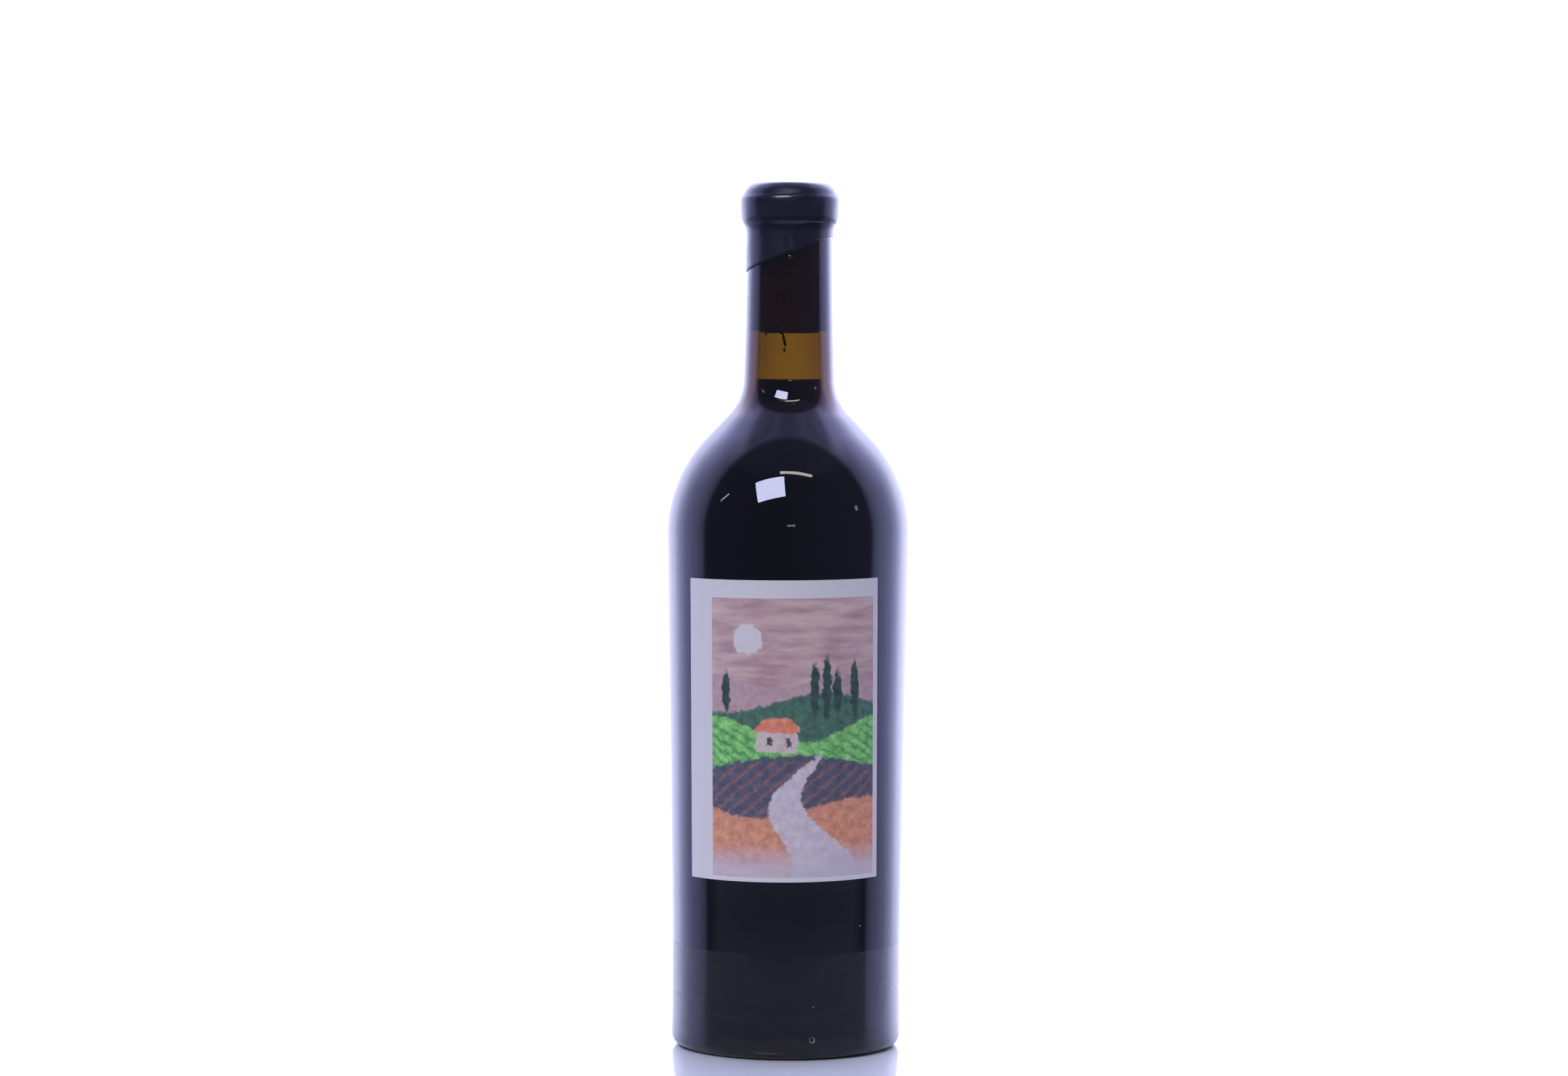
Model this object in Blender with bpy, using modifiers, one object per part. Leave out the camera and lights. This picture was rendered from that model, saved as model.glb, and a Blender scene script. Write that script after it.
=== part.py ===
"""Wax-dipped wine bottle, shut and full.

A heavy, slightly conical 750 ml bottle with a deep punt, filled with red
wine, stoppered with a cork and dipped in wax, with one wide paper label.

Frame: metres, +Z up along the bottle's axis, origin at the centre of the
resting ring, +X to the right and -Y towards the middle of the label.
The dimensions below are in millimetres and are scaled once, by MM.
"""

import math

import bmesh
import bpy

MM = 0.001
STEPS = 56

# Overall sizes
TOTAL_HEIGHT = 298.0
MOUTH_HEIGHT = 296.0
CLEARANCE = 0.3
WAX_CLEARANCE = 0.25

# Foot: a narrow flat ring round a domed punt
FOOT_RADIUS = 39.6
HEEL_RADIUS = 3.8
RING_INNER_RADIUS = 32.8
PUNT_EDGE_RADIUS = 31.6
PUNT_HEIGHT = 25.0

# Body: narrowest a little above the foot, widest under the shoulder
WAIST_RADIUS = 39.45
WAIST_HEIGHT = 36.0
BODY_RADIUS = 42.04
SHOULDER_HEIGHT = 177.0

# Shoulder and neck: a round shoulder that runs into a hollow throat
SHOULDER_ARC = 48.0
THROAT_ARC = 26.0
THROAT_RADIUS = 15.8
NECK_RADIUS = 15.27
NECK_HEIGHT = 250.0
COLLAR_RADIUS = 14.75
COLLAR_HEIGHT = 280.0
LIP_RADIUS = 16.1
LIP_BOTTOM = 284.5

# Inside of the glass
SHOULDER_WALL = 4.8
FOOT_WALL = 5.2
VALLEY_HEIGHT = 10.0
VALLEY_WIDTH = 6.5
DOME_THICKNESS = 7.0
BORE_LOW_RADIUS = 10.5
BORE_LOW_HEIGHT = 240.0
BORE_RADIUS = 9.4
BORE_HEIGHT = 272.0
MOUTH_BORE = 9.3

# Contents and stopper
WINE_LEVEL = 231.0
CORK_BOTTOM = 246.5
CORK_TOP = 295.6

# Wax: thick over the lip, a thin skin down the neck, dipped aslant
WAX_FLAT_RADIUS = 12.7
WAX_SIDE_RADIUS = 17.0
WAX_SKIN = 0.35
WAX_EDGE_HEIGHT = 274.0
WAX_EDGE_SLOPE = 19.0
WAX_EDGE_TURN = 8.0

# Label: a rectangle wrapped on the cone of the body
LABEL_WIDTH = 71.7
LABEL_HEIGHT = 102.0
LABEL_MIDDLE = 111.75
LABEL_SHIFT = -1.7
LABEL_TURN = 0.5
LABEL_THICKNESS = 0.25
LABEL_COLUMNS = 24
LABEL_ROWS = 2


def arc(centre, radius, start, end, count):
    """Points on a circle in the profile plane, angles in degrees from +X."""
    points = []
    for i in range(count + 1):
        a = math.radians(start + (end - start) * i / count)
        points.append((centre[0] + radius * math.cos(a),
                       centre[1] + radius * math.sin(a)))
    return points


def bezier(p0, p1, p2, p3, count):
    """Points on a cubic curve in the profile plane."""
    points = []
    for i in range(count + 1):
        t = i / count
        s = 1.0 - t
        weights = (s * s * s, 3 * s * s * t, 3 * s * t * t, t * t * t)
        points.append(tuple(
            sum(w * p[k] for w, p in zip(weights, (p0, p1, p2, p3)))
            for k in (0, 1)))
    return points


def throat_geometry():
    """Centres of the shoulder arc and the throat arc, which touch."""
    low = (BODY_RADIUS - SHOULDER_ARC, SHOULDER_HEIGHT)
    run = THROAT_RADIUS + THROAT_ARC - low[0]
    rise = math.sqrt((SHOULDER_ARC + THROAT_ARC) ** 2 - run * run)
    high = (THROAT_RADIUS + THROAT_ARC, SHOULDER_HEIGHT + rise)
    return low, high, math.degrees(math.atan2(rise, run))


def shoulder_arcs(inset, count, level=None):
    """The shoulder and throat from the body up, set in from the outside.

    With a level given, the throat stops at that height.
    """
    low, high, lean = throat_geometry()
    points = arc(low, SHOULDER_ARC - inset, 0.0, lean, count)
    throat = THROAT_ARC + inset
    stop = 180.0
    if level is not None:
        stop = 180.0 + math.degrees(math.asin((high[1] - level) / throat))
    points += arc(high, throat, 180.0 + lean, stop, count)[1:]
    return points


def body_radius(height):
    """Outer radius of the glass between the foot and the shoulder."""
    if height < WAIST_HEIGHT:
        t = height / WAIST_HEIGHT
        return FOOT_RADIUS + (WAIST_RADIUS - FOOT_RADIUS) * t
    t = (height - WAIST_HEIGHT) / (SHOULDER_HEIGHT - WAIST_HEIGHT)
    return WAIST_RADIUS + (BODY_RADIUS - WAIST_RADIUS) * t


def inner_bottom(gap):
    """Inside floor, from the top of the dome out to the wall."""
    top = PUNT_HEIGHT + DOME_THICKNESS + gap
    wall = FOOT_RADIUS - FOOT_WALL - gap
    valley = VALLEY_HEIGHT + gap
    side = FOOT_RADIUS - FOOT_WALL - VALLEY_WIDTH + gap
    dome = bezier((0.0, top), (13.0, top), (side - 5.5, valley + 9.0),
                  (side, valley + 1.0), 6)
    turn = bezier((side, valley + 1.0), (side + 1.6, valley - 1.4),
                  (wall, valley - 0.6), (wall, valley + 6.0), 4)
    return dome + turn[1:]


def inner_wall(gap, level=None):
    """Inside of the glass from the dome to the throat."""
    points = inner_bottom(gap)
    waist = WAIST_RADIUS - FOOT_WALL - gap
    points.append((waist, WAIST_HEIGHT))
    points += shoulder_arcs(SHOULDER_WALL + gap, 5, level)
    return points


def bore_radius(height):
    """Inner radius of the neck between the throat and the mouth."""
    if height < BORE_HEIGHT:
        t = (height - BORE_LOW_HEIGHT) / (BORE_HEIGHT - BORE_LOW_HEIGHT)
        return BORE_LOW_RADIUS + (BORE_RADIUS - BORE_LOW_RADIUS) * t
    t = (height - BORE_HEIGHT) / (MOUTH_HEIGHT - BORE_HEIGHT)
    return BORE_RADIUS + (MOUTH_BORE - BORE_RADIUS) * t


def lip_profile(gap):
    """Outside of the lip and collar, from the rounded mouth down."""
    top = MOUTH_HEIGHT + gap
    side = LIP_RADIUS + gap
    points = bezier((side - 3.2, top), (side - 0.9, top),
                    (side, top - 1.4), (side, top - 4.4), 4)
    points.append((side, LIP_BOTTOM))
    points.append((COLLAR_RADIUS + gap, COLLAR_HEIGHT + 1.6))
    return points


def glass_profile():
    """Whole wall of the glass, from the axis inside to the axis below."""
    points = inner_wall(0.0)
    points.append((BORE_LOW_RADIUS, BORE_LOW_HEIGHT))
    points.append((BORE_RADIUS, BORE_HEIGHT))
    points.append((MOUTH_BORE, MOUTH_HEIGHT - 1.0))
    points.append((MOUTH_BORE + 0.8, MOUTH_HEIGHT))
    points += lip_profile(0.0)
    points.append((NECK_RADIUS, NECK_HEIGHT))
    outside = shoulder_arcs(0.0, 10)
    outside.reverse()
    points += outside
    points.append((WAIST_RADIUS, WAIST_HEIGHT))
    heel = (FOOT_RADIUS - HEEL_RADIUS, HEEL_RADIUS)
    points += arc(heel, HEEL_RADIUS, 0.0, -90.0, 5)
    points.append((RING_INNER_RADIUS, 0.0))
    points += bezier((PUNT_EDGE_RADIUS, 1.2), (25.5, 16.0),
                     (14.0, PUNT_HEIGHT), (0.0, PUNT_HEIGHT), 7)
    return points


def wine_profile():
    """The wine's surface, then down its side to the top of the dome."""
    side = inner_wall(CLEARANCE, WINE_LEVEL)
    side.reverse()
    return [(0.0, WINE_LEVEL)] + side


def cork_profile():
    """A cork squeezed into the bore, with its ends a little rounded."""
    top = bore_radius(CORK_TOP) - CLEARANCE
    bottom = bore_radius(CORK_BOTTOM) - CLEARANCE
    return [(0.0, CORK_TOP), (top - 0.5, CORK_TOP), (top, CORK_TOP - 0.5),
            (bore_radius(BORE_HEIGHT) - CLEARANCE, BORE_HEIGHT),
            (bottom, CORK_BOTTOM + 0.6), (bottom - 0.6, CORK_BOTTOM),
            (0.0, CORK_BOTTOM)]


def wax_profile():
    """Wax cap before its lower edge is cut aslant."""
    skin = WAX_CLEARANCE + WAX_SKIN
    foot = WAX_EDGE_HEIGHT - 12.0
    fall = (NECK_RADIUS - COLLAR_RADIUS) / (COLLAR_HEIGHT - NECK_HEIGHT)
    low = COLLAR_RADIUS + fall * (COLLAR_HEIGHT - foot)
    outer = [(0.0, TOTAL_HEIGHT)]
    outer += bezier((WAX_FLAT_RADIUS, TOTAL_HEIGHT),
                    (WAX_FLAT_RADIUS + 1.6, TOTAL_HEIGHT),
                    (WAX_SIDE_RADIUS - 0.1, TOTAL_HEIGHT - 3.0),
                    (WAX_SIDE_RADIUS, TOTAL_HEIGHT - 6.5), 6)
    outer += bezier((WAX_SIDE_RADIUS, 288.5), (WAX_SIDE_RADIUS, 284.5),
                    (COLLAR_RADIUS + skin, 285.0),
                    (COLLAR_RADIUS + skin, COLLAR_HEIGHT), 5)
    outer.append((low + skin, foot))
    inner = lip_profile(WAX_CLEARANCE)
    inner.append((low + WAX_CLEARANCE, foot))
    inner.reverse()
    return outer + inner + [(0.0, MOUTH_HEIGHT + WAX_CLEARANCE)]


def material(name, colour, roughness, metallic=0.0):
    """A plain Principled material with a linear colour."""
    made = bpy.data.materials.new(name)
    made.use_nodes = True
    shader = made.node_tree.nodes["Principled BSDF"]
    shader.inputs["Base Color"].default_value = (*colour, 1.0)
    shader.inputs["Roughness"].default_value = roughness
    shader.inputs["Metallic"].default_value = metallic
    made.diffuse_color = (*colour, 1.0)
    return made


def link(obj, collection, parent=None):
    """Puts an object in its collection and under its parent."""
    collection.objects.link(obj)
    obj.parent = parent
    return obj


def turned(name, profile, collection, parent, surface):
    """A body of revolution: the profile as edges, swept by a Screw."""
    mesh = bpy.data.meshes.new(name)
    bm = bmesh.new()
    verts = [bm.verts.new((r * MM, 0.0, z * MM)) for r, z in profile]
    for a, b in zip(verts, verts[1:]):
        bm.edges.new((a, b))
    bm.to_mesh(mesh)
    bm.free()
    obj = link(bpy.data.objects.new(name, mesh), collection, parent)
    obj.data.materials.append(surface)
    screw = obj.modifiers.new("Turned", "SCREW")
    screw.axis = "Z"
    screw.angle = math.tau
    screw.steps = STEPS
    screw.render_steps = STEPS
    screw.use_merge_vertices = True
    screw.merge_threshold = 0.00002
    screw.use_smooth_shade = True
    return obj


def cut_wax_edge(wax, cutters):
    """Takes off the lower end of the wax along a slanting plane."""
    size = 0.12
    mesh = bpy.data.meshes.new("wax_edge_cutter")
    bm = bmesh.new()
    bmesh.ops.create_cube(bm, size=size)
    bmesh.ops.translate(bm, verts=bm.verts, vec=(0.0, 0.0, -size / 2))
    bm.to_mesh(mesh)
    bm.free()
    cutter = link(bpy.data.objects.new("wax_edge_cutter", mesh), cutters)
    cutter.location = (0.0, 0.0, WAX_EDGE_HEIGHT * MM)
    cutter.rotation_euler = (0.0, -math.radians(WAX_EDGE_SLOPE),
                             math.radians(WAX_EDGE_TURN))
    cutter.hide_render = True
    cutter.display_type = "WIRE"
    cut = wax.modifiers.new("Slanting edge", "BOOLEAN")
    cut.operation = "DIFFERENCE"
    cut.solver = "EXACT"
    cut.object = cutter


def label_point(u, v):
    """Where a point of the flat label lies on the glass.

    u runs to the right from the label's middle and v up. The label was
    stuck on with a slight turn. The body is a cone, so the ends of a level
    line on the paper ride up a little.
    """
    turn = math.radians(LABEL_TURN)
    slope = (BODY_RADIUS - WAIST_RADIUS) / (SHOULDER_HEIGHT - WAIST_HEIGHT)
    across = u * math.cos(turn) - v * math.sin(turn) + LABEL_SHIFT
    height = LABEL_MIDDLE + u * math.sin(turn) + v * math.cos(turn)
    height += across * across * slope / (2.0 * body_radius(height))
    radius = body_radius(height) + WAX_CLEARANCE
    angle = across / body_radius(height)
    return (radius * math.sin(angle) * MM, -radius * math.cos(angle) * MM,
            height * MM)


def make_label(collection, parent, surface):
    """Thin curved sheet, wrapped from a flat grid and given a thickness."""
    mesh = bpy.data.meshes.new("label")
    bm = bmesh.new()
    bmesh.ops.create_grid(bm, x_segments=LABEL_COLUMNS,
                          y_segments=LABEL_ROWS, size=0.5)
    for vert in bm.verts:
        vert.co = label_point(vert.co.x * LABEL_WIDTH,
                              vert.co.y * LABEL_HEIGHT)
    bm.to_mesh(mesh)
    bm.free()
    obj = link(bpy.data.objects.new("label", mesh), collection, parent)
    obj.data.materials.append(surface)
    paper = obj.modifiers.new("Paper", "SOLIDIFY")
    paper.thickness = LABEL_THICKNESS * MM
    paper.offset = 1.0
    paper.use_even_offset = True
    obj.data.shade_smooth()
    obj.data.set_sharp_from_angle(angle=math.radians(40.0))
    return obj


def main():
    for obj in list(bpy.data.objects):
        bpy.data.objects.remove(obj, do_unlink=True)
    scene = bpy.context.scene.collection
    parts = bpy.data.collections.new("wine_bottle")
    cutters = bpy.data.collections.new("wine_bottle_cutters")
    scene.children.link(parts)
    scene.children.link(cutters)
    root = link(bpy.data.objects.new("wine_bottle", None), parts)

    glass = material("dark_amber_glass", (0.010, 0.007, 0.006), 0.05)
    wine = material("red_wine", (0.020, 0.003, 0.006), 0.05)
    cork = material("cork", (0.30, 0.19, 0.10), 0.85)
    wax = material("black_wax", (0.014, 0.013, 0.026), 0.35)
    paper = material("pale_paper", (0.50, 0.47, 0.68), 0.75)

    turned("bottle_glass", glass_profile(), parts, root, glass)
    turned("wine", wine_profile(), parts, root, wine)
    turned("cork", cork_profile(), parts, root, cork)
    cap = turned("wax_cap", wax_profile(), parts, root, wax)
    cut_wax_edge(cap, cutters)
    make_label(parts, root, paper)


if __name__ == "__main__":
    main()
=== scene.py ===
"""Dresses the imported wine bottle: glass, wine, cork, wax, label and small marks.

Lengths in the functions are in millimetres and are turned to metres by MM.
"""

import math

import bmesh
import bpy
from bpy.props import FloatProperty, FloatVectorProperty, IntProperty, PointerProperty
from mathutils import Matrix, Vector, noise


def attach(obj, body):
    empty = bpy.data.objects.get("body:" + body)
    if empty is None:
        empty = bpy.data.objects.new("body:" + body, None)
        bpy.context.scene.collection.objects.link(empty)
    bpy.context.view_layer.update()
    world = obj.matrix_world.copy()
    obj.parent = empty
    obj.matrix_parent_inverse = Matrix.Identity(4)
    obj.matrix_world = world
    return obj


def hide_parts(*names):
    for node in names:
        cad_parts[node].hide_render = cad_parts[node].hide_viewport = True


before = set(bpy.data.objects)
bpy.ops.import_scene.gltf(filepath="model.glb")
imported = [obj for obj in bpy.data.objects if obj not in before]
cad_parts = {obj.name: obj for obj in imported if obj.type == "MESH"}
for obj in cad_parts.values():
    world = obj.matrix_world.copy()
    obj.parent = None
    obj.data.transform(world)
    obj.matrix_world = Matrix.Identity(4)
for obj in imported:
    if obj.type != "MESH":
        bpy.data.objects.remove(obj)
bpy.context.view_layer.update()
MM = 0.001

bl_info = {
    "name": "Wax-dipped wine bottle",
    "version": (1, 0, 0),
    "blender": (4, 5, 0),
    "location": "3D View > Sidebar > Bottle",
    "description": "Builds a shut, full wine bottle with a wax dip and a paper label",
    "category": "Add Mesh",
}

# the mould's fixed sizes
WAIST_HEIGHT = 36.0
WAIST_BLEND = 14.0
HEEL_ROUND = 3.8
BODY_WALL = 5.2
SHOULDER_WALL = 4.8
SHOULDER_ROUND = 48.0
SHOULDER_EASE = 7.0  # how much flatter the round gets before the neck
PUNT_HEIGHT = 25.0
DOME_HEIGHT = 32.0  # top of the glass over the punt
LIP_RADIUS = 16.1
COLLAR_FOOT = 284.5

# the top of the wax and its side, as (radius, height)
WAX_CURVE = (
    (11.0, 298.0), (12.8, 297.88), (13.6, 297.55), (14.2, 297.1), (14.6, 296.7),
    (15.04, 296.17), (15.3, 295.8), (15.63, 295.2), (16.12, 294.2), (16.42, 293.6),
    (16.63, 293.25), (16.82, 292.85), (16.94, 292.3), (17.0, 291.4), (16.96, 290.2),
    (16.89, 288.8), (16.82, 286.9), (16.66, 285.7), (16.22, 284.55), (15.6, 283.4),
    (15.22, 282.2), (15.04, 281.0))

# the room's light by how far a direction points to the back (1) or front (-1)
ROOM_STOPS = (
    (-1.0, (0.14, 0.15, 0.25)), (-0.115, (0.15, 0.16, 0.30)),
    (-0.065, (0.26, 0.28, 0.52)), (-0.01, (0.64, 0.66, 1.24)),
    (0.139, (0.98, 0.98, 1.90)), (0.276, (1.12, 1.10, 2.20)),
    (0.43, (1.28, 1.36, 2.54)), (0.588, (1.9, 1.95, 3.3)),
    (0.743, (2.65, 2.75, 4.1)), (0.87, (2.3, 2.4, 3.5)),
    (0.935, (1.95, 2.0, 3.0)), (0.985, (2.15, 2.1, 3.1)),
    (1.0, (2.2, 2.15, 3.1)))
ROOM_PEAK = 4.2  # the ramp holds colours up to 1, so they are divided by this

# name, direction from the bottle, distance, width and height in metres,
# radiance, turn in degrees
LAMPS = (
    ("softbox", (-0.2747, -0.7443, 0.6088), 1.5, (0.68, 0.465),
     (13.4, 13.9, 20.0), 17.2),
    ("ceiling_tube", (0.1119, -0.6064, 0.7873), 2.0, (0.98, 0.085),
     (9.5, 9.0, 8.6), -9.9),
    ("left_lamp", (-0.8446, -0.3241, 0.4196), 2.0, (0.30, 0.045),
     (6.0, 6.0, 6.6), 44.6),
    ("right_lamp", (0.8947, -0.3264, 0.3049), 2.0, (0.11, 0.11),
     (3.0, 3.0, 3.2), 0.0),
    ("front_lamp", (0.0493, -0.9896, 0.1355), 2.0, (0.25, 0.06),
     (3.0, 3.0, 3.2), 0.0),
)


def linear(code):
    """An sRGB hex colour as linear red, green and blue."""
    parts = [int(code[i:i + 2], 16) / 255.0 for i in (1, 3, 5)]
    return tuple(c / 12.92 if c <= 0.04045 else ((c + 0.055) / 1.055) ** 2.4
                 for c in parts)


# --- sizes and colours a user would change ---


def distance(name, description, metres):
    """A length in the panel."""
    return FloatProperty(name=name, description=description, default=metres,
                         unit="LENGTH", subtype="DISTANCE", precision=5)


def angle(name, description, degrees):
    """An angle in the panel."""
    return FloatProperty(name=name, description=description,
                         default=math.radians(degrees), unit="ROTATION",
                         subtype="ANGLE")


def shade(name, description, colour):
    """A colour in the panel."""
    return FloatVectorProperty(name=name, description=description, size=3,
                               subtype="COLOR", min=0.0, max=1.0, default=colour)


class BottleSizes(bpy.types.PropertyGroup):
    """Sizes of the glass, its contents and what is on it."""

    body_radius: distance("Body radius", "Outer radius just under the shoulder",
                          0.04204)
    waist_radius: distance("Waist radius", "Outer radius a little above the foot",
                           0.03945)
    foot_radius: distance("Foot radius", "Outer radius at the top of the heel", 0.0396)
    shoulder_height: distance("Shoulder height", "Height where the shoulder starts",
                              0.177)
    mouth_height: distance("Mouth height", "Height of the glass under the wax", 0.296)
    total_height: distance("Total height", "Height of the top of the wax", 0.298)
    wine_level: distance("Wine level", "Height of the wine where it meets the glass",
                         0.2305)
    cork_bottom: distance("Cork bottom", "Height of the lower end of the cork", 0.2465)
    wax_edge: distance("Wax edge height", "Middle height of the wax's lower edge",
                       0.2735)
    wax_slope: angle("Wax edge slope", "How steeply the wax's lower edge slants", 20.9)
    label_width: distance("Label width", "Width of the paper, laid flat", 0.0717)
    label_height: distance("Label height", "Height of the paper, laid flat", 0.102)
    label_middle: distance("Label middle", "Height of the middle of the label",
                           0.11175)
    label_shift: distance("Label shift",
                          "How far the label sits to the right of the front", -0.0017)
    label_turn: angle("Label turn", "How much the label is stuck on askew", 0.5)
    turn_steps: IntProperty(
        name="Turn steps", description="Faces round each turned piece",
        default=160, min=32, max=256)


class BottleColours(bpy.types.PropertyGroup):
    """Colours of the finishes."""

    glass: shade("Glass", "Colour that the dark amber glass lets through",
                 (0.654, 0.553, 0.03))
    wine: shade("Wine", "Colour that the red wine lets through", (0.70, 0.04, 0.10))
    cork: shade("Cork", "Colour of the cork's grain", linear("#9a7852"))
    wax: shade("Wax", "Colour of the sealing wax", linear("#17161f"))
    paper: shade("Paper", "Colour of the bare label paper", linear("#cbc7bb"))
    floor: shade("Floor", "Colour of the pale floor", linear("#cdd0c6"))


def sizes():
    """The sizes in millimetres, by name; angles and counts stay as they are."""
    group = bpy.context.scene.bottle_sizes
    found = {}
    for name in BottleSizes.__annotations__:
        value = getattr(group, name)
        plain = name in ("wax_slope", "label_turn", "turn_steps")
        found[name] = value if plain else value / MM
    return found


# --- nodes ---


def node(tree, kind, inputs=None, **settings):
    """Adds a node; settings are its options, inputs are values or links."""
    made = tree.nodes.new("ShaderNode" + kind)
    for key, value in settings.items():
        setattr(made, key, value)
    for key, value in (inputs or {}).items():
        if isinstance(value, bpy.types.NodeSocket):
            tree.links.new(value, made.inputs[key])
        else:
            made.inputs[key].default_value = value
    return made


def calc(tree, operation, *values):
    """What a math node makes of numbers or links."""
    return node(tree, "Math", dict(enumerate(values)), operation=operation).outputs[0]


def fade(tree, value, start, end, low=0.0, high=1.0):
    """Goes from low to high as the value goes from start to end, held outside."""
    return node(tree, "MapRange", {"Value": value, 1: start, 2: end, 3: low,
                                   4: high}).outputs[0]


def blend(tree, share, first, second):
    """A colour between the first, at 0, and the second, at 1."""
    return node(tree, "Mix", {0: share, 6: first, 7: second},
                data_type="RGBA").outputs[2]


def scaled(tree, vector, factor):
    """A vector or colour times a factor."""
    return node(tree, "VectorMath", {0: vector, "Scale": factor},
                operation="SCALE").outputs[0]


def rgba(colour, gain=1.0):
    """A colour with its alpha, darker or lighter by the gain."""
    return tuple(min(1.0, c * gain) for c in colour) + (1.0,)


# --- materials ---


def finish_material(name, **values):
    """A Principled material; values are set on the shader's own sockets."""
    made = bpy.data.materials.new(name)
    made.use_nodes = True
    shader = made.node_tree.nodes["Principled BSDF"]
    for key, value in values.items():
        shader.inputs[key.replace("_", " ")].default_value = value
    return made, made.node_tree, shader


def absorb(tree, colour, density):
    """Lets a clear body soak up light along its depth."""
    volume = node(tree, "VolumeAbsorption", {"Color": rgba(colour), "Density": density})
    tree.links.new(volume.outputs[0], tree.nodes["Material Output"].inputs["Volume"])


def relief(tree, shader, height, strength, depth, invert=False):
    """Turns a height into fine relief; depth is in millimetres."""
    bump = node(tree, "Bump", {"Strength": strength, "Distance": depth * MM,
                               "Height": height}, invert=invert)
    tree.links.new(bump.outputs[0], shader.inputs["Normal"])


def amber_glass(name="amber_bottle_glass", ior=1.52):
    """Dark antique glass, blown in a mould and fire polished: deep amber where
    light comes through, black over wine, with slow ripples in its gloss.
    Where wine wets it, a low ior takes the gloss away."""
    made, tree, shader = finish_material(
        name, Base_Color=(1, 1, 1, 1), Roughness=0.0, IOR=ior, Transmission_Weight=1.0)
    absorb(tree, bpy.context.scene.bottle_colours.glass, 760.0)
    place = node(tree, "TexCoord").outputs["Object"]
    # ripples about 35 mm long along the body, 18 mm across
    stretch = node(tree, "Mapping", {"Vector": place, "Scale": (55.0, 55.0, 28.0)})
    ripple = node(tree, "TexNoise", {"Vector": stretch.outputs[0], "Scale": 1.0,
                                     "Detail": 1.0, "Roughness": 0.4})
    relief(tree, shader, ripple.outputs["Fac"], 0.06, 1.0)
    return made


def red_wine():
    """Still red wine: clear but so deep in colour that it looks black. Its low
    IOR keeps a second glint from showing where it lies against the glass."""
    made, tree, _ = finish_material(
        "red_wine", Base_Color=(1, 1, 1, 1), Roughness=0.0, IOR=1.06,
        Transmission_Weight=1.0)
    absorb(tree, bpy.context.scene.bottle_colours.wine, 900.0)
    return made


def natural_cork():
    """Punched bark cork: warm and matt, with fine grain and dark pores."""
    colour = bpy.context.scene.bottle_colours.cork
    made, tree, shader = finish_material("natural_cork", Roughness=0.85, IOR=1.45)
    place = node(tree, "TexCoord").outputs["Object"]
    grain = node(tree, "TexNoise", {"Vector": place, "Scale": 900.0, "Detail": 4.0,
                                    "Roughness": 0.65})
    stretch = node(tree, "Mapping", {"Vector": place, "Scale": (380.0, 380.0, 160.0)})
    pores = node(tree, "TexVoronoi", {"Vector": stretch.outputs[0], "Scale": 1.0})
    hole = fade(tree, pores.outputs["Distance"], 0.06, 0.2, 1.0, 0.0)
    tone = blend(tree, grain.outputs["Fac"], rgba(colour, 0.75), rgba(colour, 1.1))
    pitted = blend(tree, hole, tone, rgba(colour, 0.45))
    tree.links.new(pitted, shader.inputs["Base Color"])
    relief(tree, shader, hole, 0.5, 0.4, invert=True)
    return made


def sealing_wax():
    """Black bottle wax, dipped hot: a soft gloss over gentle dimples, duller
    where it cooled unevenly, with a trace of violet in it."""
    colour = bpy.context.scene.bottle_colours.wax
    made, tree, shader = finish_material("black_sealing_wax", IOR=1.46)
    place = node(tree, "TexCoord").outputs["Object"]
    cloud = node(tree, "TexNoise", {"Vector": place, "Scale": 140.0, "Detail": 3.0})
    tone = blend(tree, cloud.outputs["Fac"], rgba(colour, 0.7), rgba(colour, 1.5))
    tree.links.new(tone, shader.inputs["Base Color"])
    dull = fade(tree, cloud.outputs["Fac"], 0.3, 0.7, 0.17, 0.28)
    tree.links.new(dull, shader.inputs["Roughness"])
    # dimples about 4 mm across
    dimple = node(tree, "TexNoise", {"Vector": place, "Scale": 250.0, "Detail": 2.0})
    relief(tree, shader, dimple.outputs["Fac"], 0.12, 0.5)
    return made


def sediment():
    """Dried wine with fine lees: nearly black and a little glossy."""
    made, tree, shader = finish_material("wine_sediment", Roughness=0.25, IOR=1.4)
    place = node(tree, "TexCoord").outputs["Object"]
    speck = node(tree, "TexNoise", {"Vector": place, "Scale": 3000.0, "Detail": 2.0})
    tone = blend(tree, speck.outputs["Fac"], rgba(linear("#1c0b08")),
                 rgba(linear("#33170d")))
    tree.links.new(tone, shader.inputs["Base Color"])
    return made


def bruised_glass():
    """Glass crushed by a knock: a pale, frosty grain in the dark wall."""
    made, tree, shader = finish_material("bruised_glass", Roughness=0.3, IOR=1.52)
    place = node(tree, "TexCoord").outputs["Object"]
    grain = node(tree, "TexNoise", {"Vector": place, "Scale": 2500.0})
    tone = blend(tree, grain.outputs["Fac"], rgba(linear("#4c4954")),
                 rgba(linear("#86818f")))
    tree.links.new(tone, shader.inputs["Base Color"])
    return made


def opal_acrylic():
    """Cast opal acrylic sheet: pale and even, with a high polish. Its colour is darkened
    a little in its last 6 cm towards the viewer, a painted shade for the light falling
    off there."""
    colour = bpy.context.scene.bottle_colours.floor
    made, tree, shader = finish_material("opal_acrylic", Roughness=0.03, IOR=1.5)
    place = node(tree, "TexCoord").outputs["Object"]
    cloud = node(tree, "TexNoise", {"Vector": place, "Scale": 9.0, "Detail": 2.0})
    tone = blend(tree, cloud.outputs["Fac"], rgba(colour, 0.96), rgba(colour, 1.04))
    side = node(tree, "SeparateXYZ", {0: place})
    # painted shade: the floor's colour is darkened towards its front edge, where the
    # light falls off
    painted_front_shade = fade(tree, side.outputs[1], -0.20, -0.265, 1.0, 0.66)
    tree.links.new(scaled(tree, tone, painted_front_shade), shader.inputs["Base Color"])
    return made


# --- the print on the label ---


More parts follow.
